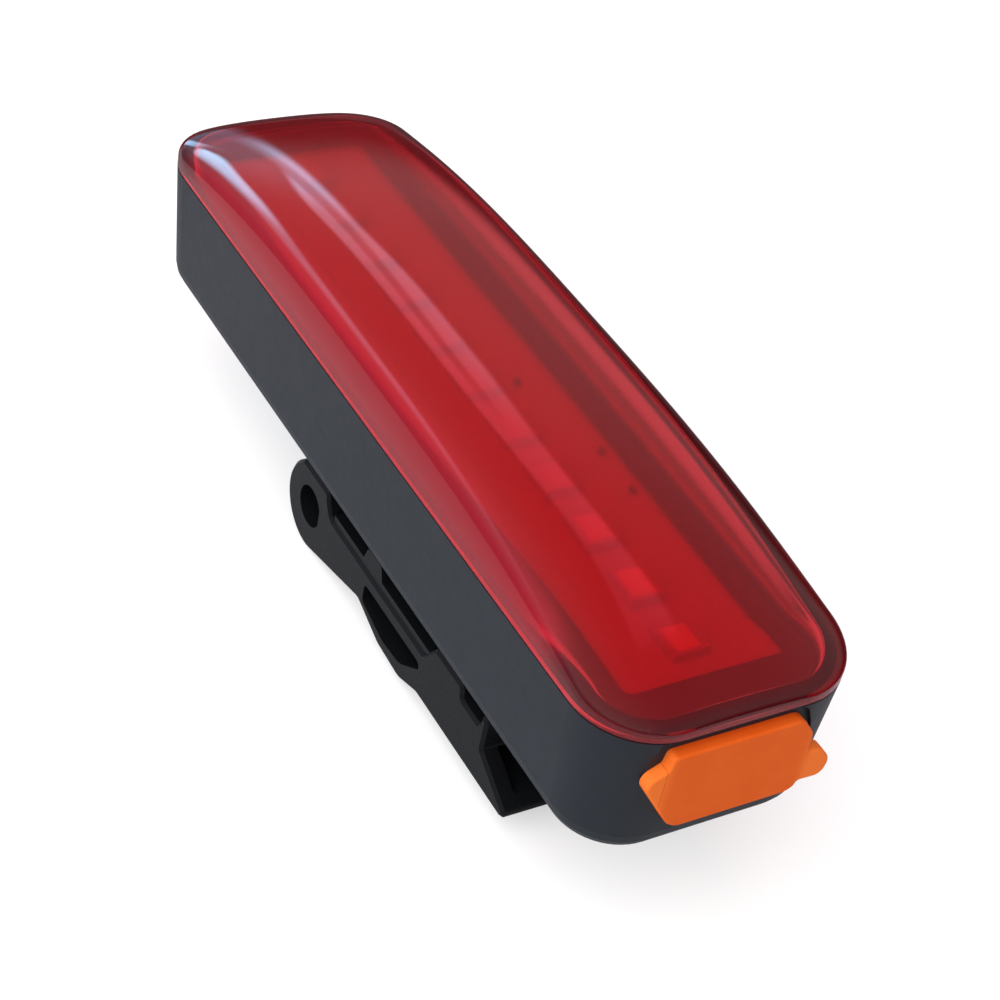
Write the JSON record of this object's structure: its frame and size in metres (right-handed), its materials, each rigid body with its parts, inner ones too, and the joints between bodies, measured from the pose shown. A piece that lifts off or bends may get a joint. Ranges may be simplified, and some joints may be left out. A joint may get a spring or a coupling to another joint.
{
  "type": "bicycle tail light",
  "caption": "Slim USB charged bicycle tail light with a domed clear red lens, grey housing and orange port plug, sliding onto a black strap bracket.",
  "frame": {"origin": "middle of the light's length and width, on the plane that the bracket's eye and saddle pad rest on", "axes": "+Y along the light from the charging port to the power button, +X across its width, +Z from the bracket out through the lens"},
  "size_m": [0.0208, 0.076, 0.0255],
  "materials": {
    "lens_red": "clear red polycarbonate, polished",
    "housing_grey": "fine satin moulding",
    "silicone_grey": "soft silicone",
    "board_white": "white solder mask",
    "frame_brown": "dark brown moulding, dull",
    "frame_black": "black moulding",
    "led_body": "white LED package",
    "led_red": "clear red resin",
    "chip_black": "moulded chip body",
    "board_green": "green solder mask",
    "steel": "nickel plated steel",
    "gold": "gold flash",
    "silicone_orange": "orange silicone",
    "button_rubber": "satin silicone",
    "cell_foil": "aluminium laminate pouch",
    "foam_black": "closed cell foam",
    "lead_red": "insulated wire",
    "bracket_black": "glass filled nylon, smooth",
    "pad_rubber": "soft rubber"
  },
  "bodies": {
    "bracket": {"strap_bracket": "bracket_black", "bracket_leaf": "bracket_black", "post_pad": "pad_rubber"},
    "light": {"front_lens": "lens_red", "rear_housing": "housing_grey", "lens_gasket": "silicone_grey", "led_board": "board_white", "board_frame": "frame_brown", "led_packages": "led_body", "led_windows": "led_red", "board_resistors": "chip_black", "control_board": "board_green", "board_screws": "steel", "board_pins": "gold", "charge_chip": "chip_black", "control_chip": "chip_black", "usb_shell": "steel", "usb_tongue": "frame_black", "usb_contacts": "gold", "plug_anchor": "silicone_orange", "button_seal": "silicone_grey", "switch_body": "frame_black", "battery_cell": "cell_foil", "battery_pad": "foam_black", "battery_leads": "lead_red"},
    "plug": {"port_plug": "silicone_orange"},
    "button": {"power_button": "button_rubber"},
    "plunger": {"switch_plunger": "steel"}
  },
  "joints": [
    {"name": "light_slide", "type": "slide", "parent": "bracket", "child": "light", "axis": [0, -1, 0], "range_m": [0, 0.0255]},
    {"name": "plug_hinge", "type": "hinge", "parent": "light", "child": "plug", "pos_m": [-0.0059, -0.038, 0.015], "axis": [0, 0, 1], "range_deg": [-115, 0]},
    {"name": "button_press", "type": "slide", "parent": "light", "child": "button", "axis": [0, -1, 0], "range_m": [0, 0.0004], "stiffness_N_per_m": 2500},
    {"name": "plunger_press", "type": "slide", "parent": "light", "child": "plunger", "axis": [0, -1, 0], "range_m": [0, 0.0004]}
  ],
  "couplings": [
    {"joint": "plunger_press", "follows": "button_press", "ratio": 1}
  ]
}
